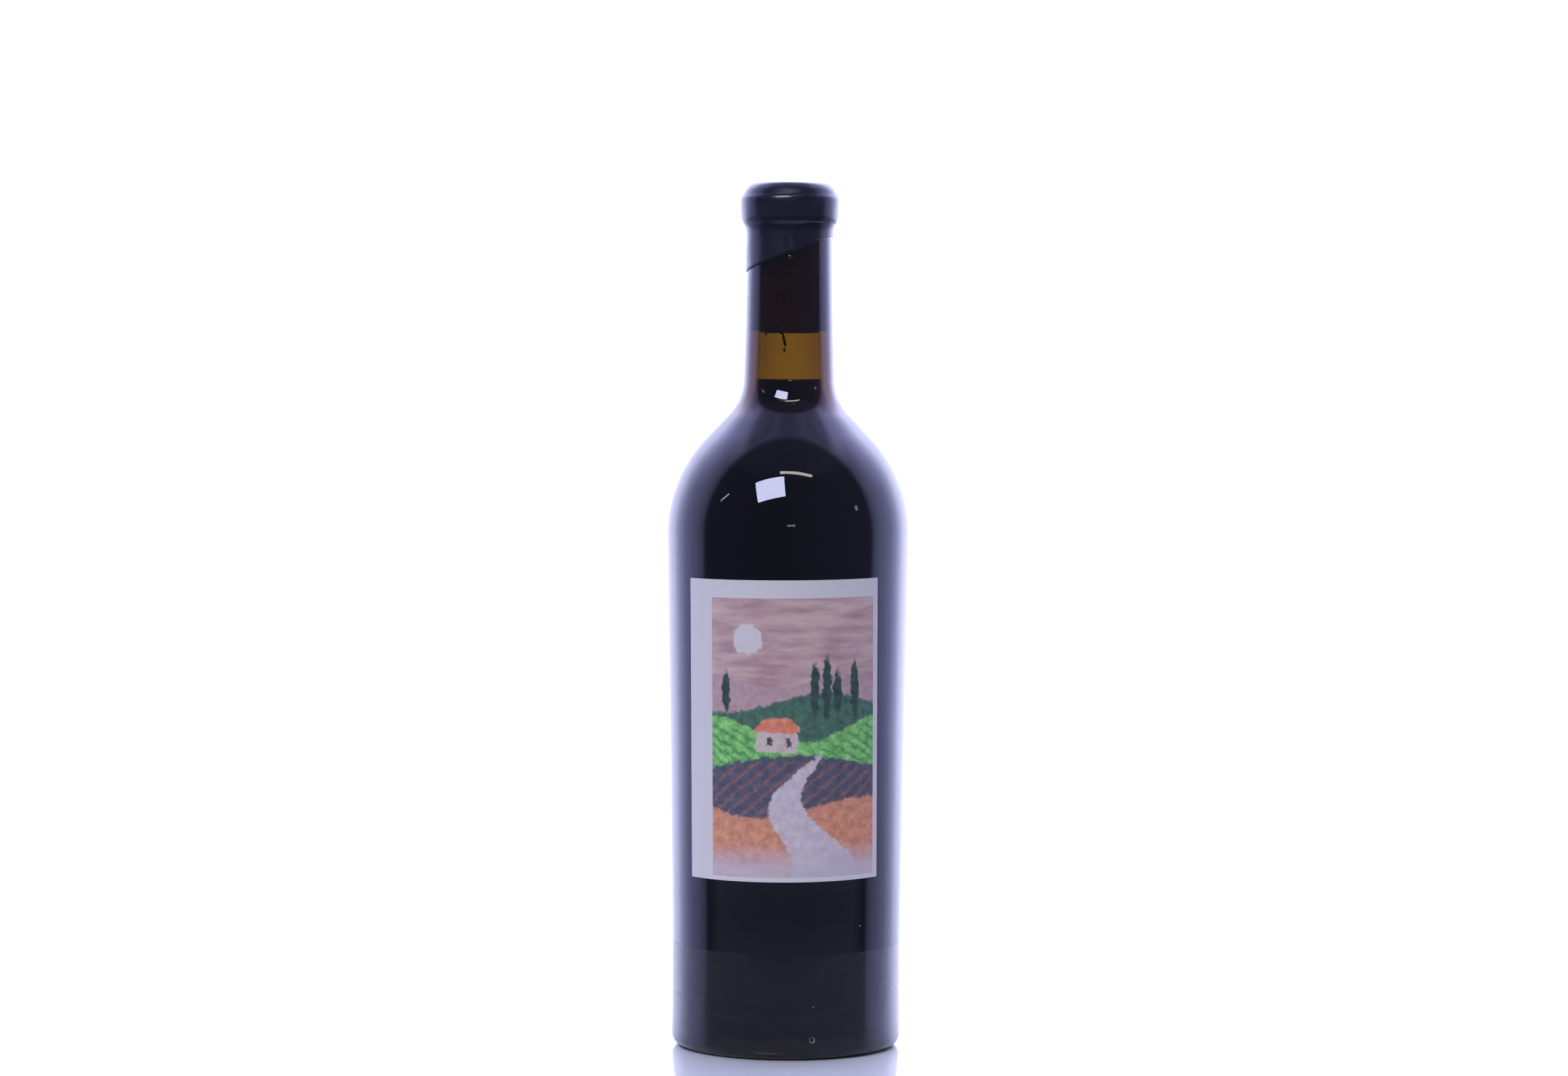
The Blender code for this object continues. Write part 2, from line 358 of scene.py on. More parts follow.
def ridge(tree, across, up, height, swell, length, start, soft=0.5):
    """1 below a rolling line across the picture, 0 above it."""
    turns = calc(tree, "MULTIPLY_ADD", across, math.tau / length, start)
    line = calc(tree, "MULTIPLY_ADD", calc(tree, "SINE", turns), swell, height)
    return fade(tree, calc(tree, "SUBTRACT", line, up), -soft, soft)


def blob(tree, across, up, middle, radii, soft=0.15):
    """1 inside an upright oval, 0 outside it."""
    sx = calc(tree, "DIVIDE", calc(tree, "SUBTRACT", across, middle[0]), radii[0])
    sy = calc(tree, "DIVIDE", calc(tree, "SUBTRACT", up, middle[1]), radii[1])
    both = node(tree, "CombineXYZ", {0: sx, 1: sy})
    far = node(tree, "VectorMath", {0: both.outputs[0]}, operation="LENGTH")
    return fade(tree, far.outputs["Value"], 1.0 + soft, 1.0 - soft)


def block(tree, across, up, low, high, lean=0.0, soft=0.3):
    """1 inside a rectangle whose sides close in by lean as they rise."""
    off = calc(tree, "SUBTRACT", across, (low[0] + high[0]) / 2.0)
    climb = calc(tree, "SUBTRACT", up, low[1])
    edge = calc(tree, "MULTIPLY_ADD", climb, -lean, (high[0] - low[0]) / 2.0)
    side = calc(tree, "SUBTRACT", edge, calc(tree, "ABSOLUTE", off))
    both = calc(tree, "MULTIPLY", fade(tree, side, -soft, soft),
                fade(tree, climb, -soft, soft))
    return calc(tree, "MULTIPLY", both, fade(tree, up, high[1] + soft, high[1] - soft))


def stripes(tree, along, pitch, start, end, most):
    """Soft lines a pitch apart: up to most where their wave is over end."""
    wave = calc(tree, "SINE", calc(tree, "MULTIPLY", along, math.tau / pitch))
    return fade(tree, wave, start, end, 0.0, most)


def road(tree, across, up):
    """1 on a bending road that widens towards the foot of the picture."""
    bend = calc(tree, "SINE", calc(tree, "MULTIPLY_ADD", up, math.tau / 46.0, 1.1))
    track = calc(tree, "MULTIPLY_ADD", bend, 7.0, 44.0)
    off = calc(tree, "ABSOLUTE", calc(tree, "SUBTRACT", across, track))
    half = fade(tree, up, 4.0, 43.0, 12.0, 0.8)
    inside = fade(tree, calc(tree, "SUBTRACT", half, off), -0.4, 0.4)
    return calc(tree, "MULTIPLY", inside, fade(tree, up, 43.5, 42.5))


def landscape(tree, x, y, cloud, mottle):
    """Hills, a farmhouse and a road in flat fields of ink, from the sky down."""
    picture = rgba(linear("#a5847f"))

    def ink(mask, dark, light, source=mottle):
        """Lays one field of ink, mottled between two tones, over the print."""
        nonlocal picture
        tone = blend(tree, fade(tree, source, 0.35, 0.65), rgba(linear(dark)),
                     rgba(linear(light)))
        picture = blend(tree, mask, picture, tone)

    ink(1.0, "#a5847f", "#c9ae9c", cloud)
    ink(blob(tree, x, y, (24.0, 82.0), (5.2, 5.2), 0.06), "#c9c2b6", "#cfcabe", cloud)
    ink(ridge(tree, x, y, 67.5, 2.6, 47.0, 0.4), "#a58a86", "#b99c94")
    ink(ridge(tree, x, y, 60.5, 3.4, 70.0, 3.4), "#3c5b4c", "#57795d")
    trees = ((47.0, 8.6), (51.2, 10.4), (55.0, 7.6), (61.5, 9.2), (16.0, 7.0))
    for place, tall in trees:
        ink(blob(tree, x, y, (place, 61.0 + tall * 0.45), (1.55, tall)),
            "#2e4038", "#42594a")
    # green hill with dark vine rows
    ink(ridge(tree, x, y, 51.5, 4.6, 64.0, 0.6), "#5f9a50", "#93d573")
    rows = stripes(tree, calc(tree, "MULTIPLY_ADD", x, 0.55, y), 3.4, 0.1, 0.75, 0.75)
    hill = ridge(tree, x, y, 49.0, 4.6, 64.0, 0.6)
    ink(calc(tree, "MULTIPLY", rows, hill), "#3f7a4a", "#63a35a")
    # farmhouse: pale wall, tiled roof, two dark windows
    ink(block(tree, x, y, (27.0, 44.0), (41.0, 51.0)), "#b9a795", "#cbbfae")
    ink(block(tree, x, y, (25.6, 50.6), (42.4, 55.2), 0.85), "#c96f4f", "#e39470")
    for place in (30.5, 37.0):
        ink(block(tree, x, y, (place, 46.2), (place + 1.8, 48.8)), "#473f45", "#5a5054")
    # dark field with brown furrows, and a bare one before it
    ink(ridge(tree, x, y, 40.0, 3.0, 88.0, 5.0), "#4a4c55", "#5f5f69")
    furrows = stripes(tree, calc(tree, "MULTIPLY_ADD", x, -0.8, y), 4.4, 0.2, 0.9, 0.6)
    field = ridge(tree, x, y, 38.5, 3.0, 88.0, 5.0)
    ink(calc(tree, "MULTIPLY", furrows, field), "#7a5648", "#a06d55")
    ink(ridge(tree, x, y, 25.0, 3.2, 74.0, 2.4), "#b9785a", "#d89a74")
    ink(road(tree, x, y), "#b9aba6", "#cbc0b9")
    # the print thins out to pale paper at its foot
    ink(fade(tree, y, 13.0, 5.0, 0.0, 0.85), "#b6aaa7", "#c4b9b5", cloud)
    return picture


def label_paper():
    """Uncoated label stock, litho printed: matt white paper with a fine felt
    grain, and a small landscape in flat, slightly soft-edged fields of ink."""
    paper = rgba(bpy.context.scene.bottle_colours.paper)
    made, tree, shader = finish_material("printed_label_paper", Roughness=0.7, IOR=1.45,
                                         Specular_IOR_Level=0.25)
    flat = node(tree, "UVMap", uv_map="paper").outputs[0]
    # the UV map holds millimetres / 100 from the paper's lower left corner
    page = node(tree, "Mapping", {"Vector": flat, "Scale": (100.0, 100.0, 1.0)})
    page = page.outputs[0]
    # brushwork: edges wander by about half a millimetre
    wander = node(tree, "TexNoise", {"Vector": page, "Scale": 0.42, "Detail": 3.0,
                                     "Roughness": 0.6})
    shift = node(tree, "VectorMath", {0: wander.outputs["Color"], 1: (0.5, 0.5, 0.5)},
                 operation="SUBTRACT")
    shift = node(tree, "VectorMath", {0: shift.outputs[0], 1: (3.2, 3.6, 0.0), 2: page},
                 operation="MULTIPLY_ADD")
    brush = node(tree, "SeparateXYZ", {0: shift.outputs[0]}).outputs
    wide = node(tree, "Mapping", {"Vector": page, "Scale": (0.05, 0.22, 1.0)})
    cloud = node(tree, "TexNoise", {"Vector": wide.outputs[0], "Scale": 1.0,
                                    "Detail": 4.0, "Roughness": 0.6})
    mottle = node(tree, "TexNoise", {"Vector": page, "Scale": 0.35, "Detail": 5.0,
                                     "Roughness": 0.65})
    picture = landscape(tree, brush[0], brush[1], cloud.outputs["Fac"],
                        mottle.outputs["Fac"])
    exact = node(tree, "SeparateXYZ", {0: page}).outputs
    panel = block(tree, exact[0], exact[1], (10.4, 1.5), (69.6, 95.9), 0.0, 0.12)
    tree.links.new(blend(tree, panel, paper, picture), shader.inputs["Base Color"])
    # felt grain, drawn at 0.5 mm so that it shows
    felt = node(tree, "TexNoise", {"Vector": page, "Scale": 2.0, "Detail": 4.0,
                                   "Roughness": 0.7})
    relief(tree, shader, felt.outputs["Fac"], 0.12, 0.1)
    return made


# --- shapes ---


def arc(centre, radius, start, end, count):
    """Points on a circle in the profile plane, angles in degrees from +X."""
    points = []
    for i in range(count + 1):
        a = math.radians(start + (end - start) * i / count)
        points.append((centre[0] + radius * math.cos(a),
                       centre[1] + radius * math.sin(a)))
    return points


def bezier(p0, p1, p2, p3, count):
    """Points on a cubic curve in the profile plane."""
    points = []
    for i in range(count + 1):
        t = i / count
        s = 1.0 - t
        weights = (s * s * s, 3 * s * s * t, 3 * s * t * t, t * t * t)
        points.append(tuple(
            sum(w * p[k] for w, p in zip(weights, (p0, p1, p2, p3)))
            for k in (0, 1)))
    return points


def through(knots, count):
    """A smooth line through the knots, with count points to each span."""
    ends = [knots[0]] + list(knots) + [knots[-1]]
    points = [knots[0]]
    for p0, p1, p2, p3 in zip(ends, ends[1:], ends[2:], ends[3:]):
        c1 = tuple(b + (c - a) / 6.0 for a, b, c in zip(p0, p1, p2))
        c2 = tuple(c - (d - b) / 6.0 for b, c, d in zip(p1, p2, p3))
        points += bezier(p1, c1, c2, p2, count)[1:]
    return points


def shoulder(inset, level=None):
    """Shoulder, cone and throat from the body up, set in from the outside.

    The shoulder's round starts along the body's cone, eases off at 36 degrees and
    then turns in two arcs into the neck. With a level it stops at that height.
    """
    size = sizes()
    low = (size["body_radius"] - SHOULDER_ROUND, size["shoulder_height"])
    lean = math.radians(36.0)
    high = (low[0] - SHOULDER_EASE * math.cos(lean),
            low[1] - SHOULDER_EASE * math.sin(lean))
    points = arc(low, SHOULDER_ROUND - inset, -1.05, 36.0, 22)
    points += arc(high, SHOULDER_ROUND + SHOULDER_EASE - inset, 36.0, 44.2, 5)[1:]
    points += arc((32.76, 230.5), 17.0 + inset, 224.2, 192.0, 14)
    points += arc((35.7, 231.12), 20.0 + inset, 192.0, 181.2, 6)[1:]
    if level is None:
        return points
    kept = [p for p in points if p[1] < level]
    after = points[len(kept)]
    t = (level - kept[-1][1]) / (after[1] - kept[-1][1])
    return kept + [(kept[-1][0] + (after[0] - kept[-1][0]) * t, level)]


def body_slope():
    """How much the radius grows with height between the waist and the shoulder."""
    size = sizes()
    return ((size["body_radius"] - size["waist_radius"])
            / (size["shoulder_height"] - WAIST_HEIGHT))


def body_radius(height):
    """Outer radius of the glass between the foot and the shoulder: two cones
    that run softly into each other at the waist."""
    size = sizes()
    lower = (size["waist_radius"] - size["foot_radius"]) / WAIST_HEIGHT
    upper = body_slope()
    off = height - WAIST_HEIGHT
    near = max(0.0, WAIST_BLEND - abs(off))
    soft = (upper - lower) * near ** 2 / (4.0 * WAIST_BLEND)
    return size["waist_radius"] + off * (lower if off < 0.0 else upper) + soft


def inner_wall(gap, level=None):
    """Inside of the glass from the top of the dome to the throat."""
    size = sizes()
    top = DOME_HEIGHT + gap
    wall = size["foot_radius"] - BODY_WALL - gap
    valley = 10.0 + gap
    side = size["foot_radius"] - BODY_WALL - 6.5 + gap
    points = bezier((0.0, top), (13.0, top), (side - 5.5, valley + 9.0),
                    (side, valley + 1.0), 14)
    points += bezier((side, valley + 1.0), (side + 1.6, valley - 1.4),
                     (wall, valley - 0.6), (wall, valley + 6.0), 10)[1:]
    points.append((size["waist_radius"] - BODY_WALL - gap, WAIST_HEIGHT))
    points += shoulder(SHOULDER_WALL + gap, level)
    return points


def bore_radius(height):
    """Inner radius of the neck between the throat and the mouth."""
    if height < 272.0:
        return 10.5 - 1.1 * (height - 240.0) / 32.0
    return 9.4 - 0.1 * (height - 272.0) / 24.0


def lip_profile(gap, count):
    """Outside of the lip and collar, from the rounded mouth down."""
    top = sizes()["mouth_height"] + gap
    side = LIP_RADIUS + gap
    points = bezier((side - 3.2, top), (side - 0.9, top), (side, top - 1.4),
                    (side, top - 4.4), count)
    points.append((side, COLLAR_FOOT))
    points.append((14.56 + gap, 281.6))
    return points


def neck_radius(height):
    """Outer radius of the glass between the throat and the collar."""
    if height < 250.0:
        return 15.7 - 0.62 * (height - 230.7) / 19.3
    return 15.08 - 0.52 * min(1.05, (height - 250.0) / 30.0)


def turned_mesh(profile, steps):
    """Spins an edge path, given as (radius, height), into a closed body."""
    bm = bmesh.new()
    verts = [bm.verts.new((r * MM, 0.0, z * MM)) for r, z in profile]
    edges = [bm.edges.new(pair) for pair in zip(verts, verts[1:])]
    bmesh.ops.spin(bm, geom=verts + edges, cent=(0, 0, 0), axis=(0, 0, 1),
                   angle=math.tau, steps=steps, use_merge=True)
    bmesh.ops.remove_doubles(bm, verts=bm.verts, dist=0.000002)
    bmesh.ops.recalc_face_normals(bm, faces=bm.faces)
    return bm


def add_object(name, bm, material, sharp):
    """Makes an object of the mesh, smooth but for its sharp edges."""
    mesh = bpy.data.meshes.new(name)
    bm.to_mesh(mesh)
    bm.free()
    made = bpy.data.objects.new(name, mesh)
    bpy.context.scene.collection.objects.link(made)
    mesh.materials.append(material)
    mesh.shade_smooth()
    mesh.set_sharp_from_angle(angle=math.radians(sharp))
    return made


def add_piece(name, bm, material, slot, *replaced, sharp=35.0):
    """Makes a piece of the bottle, hangs it under the root and hides the parts it
    replaces.
    """
    piece = add_object(name, bm, material, sharp)
    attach(piece, "root")
    for old in replaced:
        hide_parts(old)
    return piece


# --- operators ---


class BOTTLE_OT_stage(bpy.types.Operator):
    """Lay the pale floor and set the studio light and the camera"""

    bl_idname = "bottle.stage"
    bl_label = "Stage, light and camera"

    def execute(self, context):
        scene = context.scene
        scene.view_settings.view_transform = "Standard"
        self.floor()
        self.world(scene)
        self.lights(scene)
        self.camera(scene)
        return {"FINISHED"}

    def floor(self):
        """A round slab of opal acrylic with an eased edge, in metres."""
        radius, thick, drop = 0.27, 0.01, 0.0001
        bm = bmesh.new()
        bmesh.ops.create_cone(bm, cap_ends=True, segments=128, radius1=radius,
                              radius2=radius, depth=thick)
        bmesh.ops.translate(bm, verts=bm.verts, vec=(0.0, 0.0, -thick / 2.0 - drop))
        rims = [e for e in bm.edges if len(e.link_faces) == 2
                and e.calc_face_angle() > 1.0]
        bmesh.ops.bevel(bm, geom=rims, offset=0.0004, segments=2, affect="EDGES",
                        profile=0.5, material=-1)
        floor = add_object("floor", bm, opal_acrylic(), 35.0)

    def world(self, scene):
        """A bright white room behind the bottle that falls off to dark in front.
        The camera itself sees plain white."""
        world = bpy.data.worlds.new("studio")
        world.use_nodes = True
        tree = world.node_tree
        toward = node(tree, "TexCoord").outputs["Generated"]
        right, back, up = node(tree, "SeparateXYZ", {0: toward}).outputs
        ramp = node(tree, "ValToRGB", {0: fade(tree, back, -1.0, 1.0)})
        elements = ramp.color_ramp.elements
        while len(elements) < len(ROOM_STOPS):
            elements.new(0.5)
        for element, (where, colour) in zip(elements, ROOM_STOPS):
            element.position = (where + 1.0) / 2.0
            element.color = rgba(colour, 1.0 / ROOM_PEAK)
        # the right-hand wall is a little brighter, the ceiling overhead dimmer
        gain = calc(tree, "MULTIPLY_ADD", fade(tree, right, 0.0, 0.5, 0.0, 0.2),
                    fade(tree, up, -0.14, -0.07), 1.0)
        roof = calc(tree, "MULTIPLY", fade(tree, up, 0.84, 0.89, 0.0, 0.5),
                    fade(tree, back, -0.08, 0.03))
        gain = calc(tree, "MULTIPLY", gain, calc(tree, "SUBTRACT", 1.0, roof))
        # the wall behind is brighter high up
        part = calc(tree, "MAXIMUM", fade(tree, back, 0.12, 0.32),
                    fade(tree, up, 0.7, 0.8))
        cove = calc(tree, "MULTIPLY_ADD", fade(tree, up, 0.35, 0.6, 0.0, 0.35), part,
                    1.0)
        gain = calc(tree, "MULTIPLY", gain, cove)
        # the room is dimmer below the floor's edge
        for start, end, least in ((-0.10, -0.15, 0.8), (-0.17, -0.24, 0.6)):
            gain = calc(tree, "MULTIPLY", gain, fade(tree, up, start, end, 1.0, least))
        # just past the floor's front edge it is nearly as bright as the floor
        table = calc(tree, "MULTIPLY", fade(tree, up, -0.11, -0.15, 0.0, 0.2 / ROOM_PEAK),
                     fade(tree, up, -0.152, -0.18, 1.0, 0.1))
        table = calc(tree, "MULTIPLY", table, fade(tree, back, -0.1, -0.35))
        lit = node(tree, "VectorMath", {0: scaled(tree, ramp.outputs[0], gain),
                                        1: scaled(tree, (1.0, 0.97, 1.6), table)},
                   operation="ADD")
        room = tree.nodes["Background"]
        tree.links.new(lit.outputs[0], room.inputs[0])
        room.inputs[1].default_value = ROOM_PEAK
        white = node(tree, "Background", {0: (1.0, 1.0, 1.0, 1.0), 1: 1.05})
        ray = node(tree, "LightPath")
        both = node(tree, "MixShader", {0: ray.outputs["Is Camera Ray"],
                                        1: room.outputs[0], 2: white.outputs[0]})
        tree.links.new(both.outputs[0], tree.nodes["World Output"].inputs[0])
        scene.world = world

    def lights(self, scene):
        """A softbox, a ceiling tube and three small lamps, all aimed at the neck."""
        for name, toward, far, (wide, tall), glow, turn in LAMPS:
            data = bpy.data.lights.new(name, "AREA")
            data.shape = "RECTANGLE"
            data.size = wide
            data.size_y = tall
            peak = max(glow)
            data.color = tuple(c / peak for c in glow)
            data.energy = peak * math.pi * wide * tall
            lamp = bpy.data.objects.new(name, data)
            scene.collection.objects.link(lamp)
            aim = Vector(toward).normalized()
            face = aim.to_track_quat("Z", "Y").to_matrix().to_4x4()
            lamp.matrix_world = (Matrix.Translation(Vector((0, 0, 0.19)) + aim * far)
                                 @ face @ Matrix.Rotation(math.radians(turn), 4, "Z"))
            lamp.visible_camera = False

    def camera(self, scene):
        """A 90 mm view from 1.35 m, a little above the neck's middle."""
        focal_pixels, picture_width = 5800.0, 2324.0
        down, roll = math.radians(2.0), math.radians(0.318)
        data = bpy.data.cameras.new("camera")
        data.sensor_width = 36.0
        data.sensor_fit = "HORIZONTAL"
        data.lens = focal_pixels / picture_width * data.sensor_width
        view = bpy.data.objects.new("camera", data)
        scene.collection.objects.link(view)
        view.matrix_world = (Matrix.Translation((-0.00147, -1.35424, 0.222865))
                             @ Matrix.Rotation(math.radians(90.0) - down, 4, "X")
                             @ Matrix.Rotation(roll, 4, "Z"))
        scene.camera = view


class BOTTLE_OT_glass(bpy.types.Operator):
    """Turn the bottle's glass: punt, body, shoulder, neck and lip"""

    bl_idname = "bottle.glass"
    bl_label = "Glass"

    def execute(self, context):
        size = sizes()
        mouth = size["mouth_height"]
        points = inner_wall(0.0)
        points += [(10.5, 240.0), (9.4, 272.0), (9.3, mouth - 1.0), (10.1, mouth)]
        points += lip_profile(0.0, 8)
        points += [(neck_radius(z), z) for z in range(280, 235, -4)]
        points += reversed(shoulder(0.0))
        # close rings round the waist, where the two cones meet
        heights = (*range(165, 57, -12), *range(54, 16, -2), 12, 8)
        points += [(body_radius(z), z) for z in heights]
        points += arc((size["foot_radius"] - HEEL_ROUND, HEEL_ROUND), HEEL_ROUND,
                      0.0, -90.0, 12)
        points.append((32.8, 0.0))
        points += bezier((31.6, 1.2), (25.5, 16.0), (14.0, PUNT_HEIGHT),
                         (0.0, PUNT_HEIGHT), 16)
        bm = turned_mesh(points, size["turn_steps"])
        for face in bm.faces:
            face.material_index = int(self.wetted(face, size["wine_level"] - 0.2))
        glass = add_piece("bottle_body", bm, amber_glass(), "glass", "bottle_glass")
        glass.data.materials.append(amber_glass("amber_glass_under_wine", 1.03))
        return {"FINISHED"}

    def wetted(self, face, level):
        """Whether a face is on the inside of the wall, under the wine's level."""
        middle = face.calc_center_median() / MM
        inward = face.normal.x * middle.x + face.normal.y * middle.y < 0.0
        return (inward and 14.0 < middle.z < level
                and math.hypot(middle.x, middle.y) > 20.0)


class BOTTLE_OT_wine(bpy.types.Operator):
    """Fill the glass to its level, with the wine's edge drawn up the wall"""

    bl_idname = "bottle.wine"
    bl_label = "Wine"

    def execute(self, context):
        size = sizes()
        level = size["wine_level"]
        reach = 0.06  # into the wall, so that no air gap shows
        side = inner_wall(-reach, level)
        side.reverse()
        edge = side[0][0]
        rim = bezier((0.0, level - 1.1), (edge * 0.6, level - 1.1),
                     (edge - 0.9, level - 1.0), (edge, level), 14)
        bm = turned_mesh(rim + side[1:], size["turn_steps"])
        add_piece("wine_fill", bm, red_wine(), "wine", "wine")
        return {"FINISHED"}


class BOTTLE_OT_cork(bpy.types.Operator):
    """Press the cork into the bore"""

    bl_idname = "bottle.cork"
    bl_label = "Cork"

    def execute(self, context):
        size = sizes()
        top = size["mouth_height"] - 0.4
        low = size["cork_bottom"]
        reach = 0.04  # into the wall, as the cork is squeezed
        points = [(0.0, top), (bore_radius(top) - 0.5, top),
                  (bore_radius(top) + reach, top - 0.5)]
        points += [(bore_radius(z) + reach, z) for z in range(290, 250, -6)]
        end = bore_radius(low)
        points += bezier((end + reach, low + 0.9), (end + reach, low + 0.2),
                         (end - 0.3, low), (end - 0.9, low), 4)
        points.append((0.0, low))
        bm = turned_mesh(points, 96)
        add_piece("cork_plug", bm, natural_cork(), "cork", "cork")
        return {"FINISHED"}


class BOTTLE_OT_wax(bpy.types.Operator):
    """Dip the top in wax: a thick cap, a thin skin and a slanting edge"""

    bl_idname = "bottle.wax"
    bl_label = "Wax dip"

    def execute(self, context):
        size = sizes()
        top = size["total_height"]
        foot = size["wax_edge"] - 12.0
        skin, gap = 0.42, 0.02
        outer = [(0.0, top), (5.0, top), (9.0, top)]
        outer += through(WAX_CURVE, 3)
        outer += [(neck_radius(z) + skin, z)
                  for z in [279.6 - 0.45 * i for i in range(39)]]
        inner = lip_profile(gap, 8)
        inner.append((neck_radius(foot) + gap, foot))
        inner.reverse()
        inner.append((0.0, size["mouth_height"] + gap))
        bm = turned_mesh(outer + inner, size["turn_steps"])
        up = Matrix.Rotation(-size["wax_slope"], 3, "Y") @ Vector((0.0, 0.0, 1.0))
        spot = Vector((0.0, 0.0, size["wax_edge"] * MM))
        cut = bmesh.ops.bisect_plane(
            bm, geom=bm.verts[:] + bm.edges[:] + bm.faces[:], plane_co=spot,
            plane_no=-up, clear_outer=True)
        rims = [e for e in cut["geom_cut"] if isinstance(e, bmesh.types.BMEdge)]
        bmesh.ops.bridge_loops(bm, edges=rims)
        bmesh.ops.recalc_face_normals(bm, faces=bm.faces)
        for vert in bm.verts:
            self.soften(vert, up, spot)
        add_piece("wax_dip", bm, sealing_wax(), "wax", "wax_cap", sharp=50.0)
        return {"FINISHED"}

    def soften(self, vert, up, spot):
        """Gives the outer skin its dimples, its edge bead and its runs."""
        place = vert.co.copy()
        radius = math.hypot(place.x, place.y) / MM
        height = place.z / MM
        if radius < 1.0:
            return
        near = (place - spot).dot(up) / MM
        glass = LIP_RADIUS if height > COLLAR_FOOT else neck_radius(height)
        if height < 296.5 and radius < glass + 0.2:
            # the inside only follows the edge
            if near < 0.6:
                vert.co.z += self.run(place) * MM
            return
        swell = 0.10 * noise.noise(place * 130.0)
        if height < 284.0:
            swell += 0.09 * math.exp(-((near - 0.9) / 0.8) ** 2)
            vert.co.z += self.run(place) * max(0.0, 1.0 - near / 9.0) * MM
        if near < 0.15:
            swell -= 0.16
        vert.co += Vector((place.x, place.y, 0.0)).normalized() * (swell * MM)
        if height > 294.0:
            vert.co.z += 0.10 * noise.noise(place * 160.0 + Vector((3, 1, 7))) * MM

    def run(self, place):
        """How far the wax's edge hangs down or stops short, round the neck."""
        around = math.atan2(place.y, place.x)
        return (0.33 * math.sin(3.0 * around + 2.36) + 0.06 * math.sin(7.0 * around + 2.1)
                + math.exp(-((around + 1.05) / 0.65) ** 2))


class BOTTLE_OT_label(bpy.types.Operator):
    """Wrap the printed paper round the cone of the body"""

    bl_idname = "bottle.label"
    bl_label = "Label"

    def execute(self, context):
        size = sizes()
        wide, tall = size["label_width"], size["label_height"]
        bm = bmesh.new()
        bmesh.ops.create_grid(bm, x_segments=120, y_segments=150, size=0.5)
        layer = bm.loops.layers.uv.new("paper")
        for face in bm.faces:
            for loop in face.loops:
                loop[layer].uv = ((loop.vert.co.x + 0.5) * wide / 100.0,
                                  (loop.vert.co.y + 0.5) * tall / 100.0)
        ring = bmesh.ops.extrude_face_region(bm, geom=bm.faces[:])
        front = {v for v in ring["geom"] if isinstance(v, bmesh.types.BMVert)}
        for vert in bm.verts:
            vert.co = self.wrap(size, vert.co.x * wide, vert.co.y * tall, vert in front)
        bmesh.ops.recalc_face_normals(bm, faces=bm.faces)
        add_piece("paper_label", bm, label_paper(), "paper", "label", sharp=60.0)
        return {"FINISHED"}

    def wrap(self, size, u, v, front):
        """Where a point of the flat paper lies on the cone, front or back."""
        turn = size["label_turn"]
        across = u * math.cos(turn) - v * math.sin(turn) + size["label_shift"]
        height = size["label_middle"] + u * math.sin(turn) + v * math.cos(turn)
        height += across * across * body_slope() / (2.0 * body_radius(height))
        around = across / body_radius(height)
        out = 0.03
        if front:
            # paper that cockled a little as the glue dried
            out = 0.25 + 0.05 * noise.noise(Vector((u * 0.09, v * 0.05, 4.0)))
        radius = body_radius(height) + out
        return Vector((radius * math.sin(around), -radius * math.cos(around),
                       height)) * MM


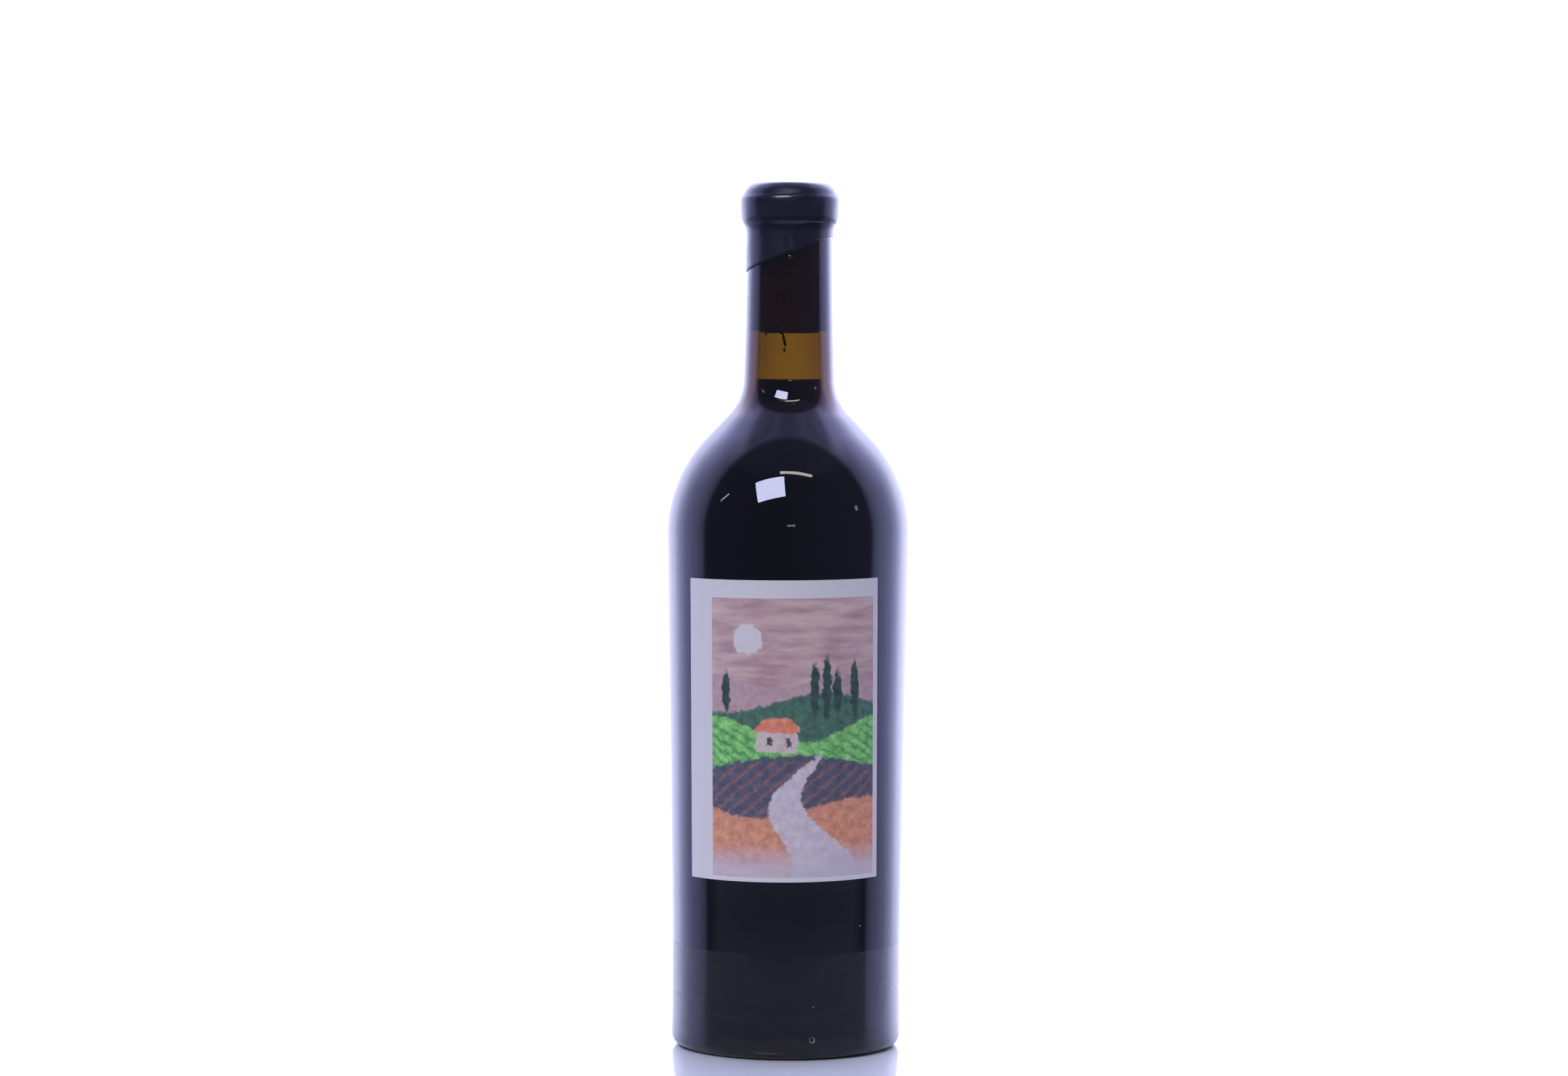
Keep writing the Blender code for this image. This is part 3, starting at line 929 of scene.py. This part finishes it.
class BOTTLE_OT_marks(bpy.types.Operator):
    """Add the wine tears in the neck, the bruises in the glass and a wax bead"""

    bl_idname = "bottle.marks"
    bl_label = "Tears, bruises and wax bead"

    def execute(self, context):
        lees = sediment()
        # name, angle from the front in degrees, height, half width, half height, lean
        tears = (("wine_tear", -9.6, 244.3, 0.6, 2.9, 11.0),
                 ("wine_tear_head", -13.8, 246.3, 0.7, 0.5, -25.0),
                 ("wine_drop", -8.5, 240.5, 0.5, 0.7, 0.0),
                 ("wine_speck", -43.0, 246.0, 0.35, 0.55, 0.0))
        for name, around, height, wide, tall, lean in tears:
            bm = self.ball(24, 16)
            for vert in bm.verts:
                taper = 0.72 - 0.28 * vert.co.z
                vert.co = Vector((vert.co.x * wide * taper, vert.co.y * 0.28 * taper,
                                  vert.co.z * tall)) * MM
            bmesh.ops.rotate(bm, cent=(0, 0, 0), verts=bm.verts,
                             matrix=Matrix.Rotation(math.radians(-lean), 3, "Y"))
            self.stand(bm, around, bore_radius(height) - 0.12, height)
            add_piece(name, bm, lees, "wine")
        frost = bruised_glass()
        # name, angle from the front in degrees, height, ring radius, thickness
        bruises = (("bruise_heel", 13.0, 7.1, 0.88, 0.24),
                   ("bruise_low", 13.6, 18.3, 0.0, 0.26),
                   ("bruise_side", 39.2, 45.0, 0.0, 0.3))
        for name, around, height, ring, thick in bruises:
            bm = self.crescent(ring, thick) if ring else self.ball(16, 10, thick * MM)
            self.stand(bm, around, body_radius(height), height)
            add_piece(name, bm, frost, "glass")
        # bead of wax that ran just past the edge
        bm = self.ball(24, 16)
        for vert in bm.verts:
            vert.co = Vector((vert.co.x * 0.85, vert.co.y * 0.42,
                              vert.co.z * 0.9)) * MM
        self.stand(bm, 0.4, neck_radius(272.2) + 0.05, 272.2)
        add_piece("wax_bead", bm, bpy.data.materials["black_sealing_wax"], "wax")
        return {"FINISHED"}

    def ball(self, round_steps, rings, radius=1.0):
        """A ball to be squeezed into shape."""
        bm = bmesh.new()
        bmesh.ops.create_uvsphere(bm, u_segments=round_steps, v_segments=rings,
                                  radius=radius)
        return bm

    def crescent(self, ring, thick):
        """An upright ring, thicker at its lower right."""
        bm = bmesh.new()
        bmesh.ops.create_circle(bm, segments=12, radius=thick * MM)
        bmesh.ops.translate(bm, verts=bm.verts, vec=(ring * MM, 0.0, 0.0))
        bmesh.ops.spin(bm, geom=bm.verts[:] + bm.edges[:], cent=(0, 0, 0),
                       axis=(0, 1, 0), angle=math.tau, steps=32, use_merge=True)
        for vert in bm.verts:
            flat = Vector((vert.co.x, 0.0, vert.co.z))
            core = flat.normalized() * ring * MM
            swell = 0.75 + 0.55 * (flat.x - flat.z) / flat.length / math.sqrt(2.0)
            vert.co = core + (vert.co - core) * swell
        return bm

    def stand(self, bm, around, radius, height):
        """Puts a small shape on a round wall, facing out."""
        move = (Matrix.Rotation(math.radians(around), 4, "Z")
                @ Matrix.Translation(Vector((0.0, -radius, height)) * MM))
        bmesh.ops.transform(bm, matrix=move, verts=bm.verts)
        bmesh.ops.recalc_face_normals(bm, faces=bm.faces)


class BOTTLE_PT_panel(bpy.types.Panel):
    """Lists the bottle's pieces in the sidebar"""

    bl_idname = "BOTTLE_PT_panel"
    bl_label = "Wine bottle"
    bl_space_type = "VIEW_3D"
    bl_region_type = "UI"
    bl_category = "Bottle"

    def draw(self, context):
        column = self.layout.column(align=True)
        for step in STEPS:
            column.operator(step.bl_idname)
        for name in BottleSizes.__annotations__:
            column.prop(context.scene.bottle_sizes, name)
        for name in BottleColours.__annotations__:
            column.prop(context.scene.bottle_colours, name)


STEPS = (BOTTLE_OT_stage, BOTTLE_OT_glass, BOTTLE_OT_wine, BOTTLE_OT_cork,
         BOTTLE_OT_wax, BOTTLE_OT_label, BOTTLE_OT_marks)
CLASSES = (BottleSizes, BottleColours) + STEPS + (BOTTLE_PT_panel,)


def register():
    for cls in CLASSES:
        bpy.utils.register_class(cls)
    bpy.types.Scene.bottle_sizes = PointerProperty(type=BottleSizes)
    bpy.types.Scene.bottle_colours = PointerProperty(type=BottleColours)


def unregister():
    del bpy.types.Scene.bottle_colours
    del bpy.types.Scene.bottle_sizes
    for cls in reversed(CLASSES):
        bpy.utils.unregister_class(cls)


def main():
    register()
    bpy.ops.bottle.stage()
    bpy.ops.bottle.glass()
    bpy.ops.bottle.wine()
    bpy.ops.bottle.cork()
    bpy.ops.bottle.wax()
    bpy.ops.bottle.label()
    bpy.ops.bottle.marks()


if __name__ == "__main__":
    main()
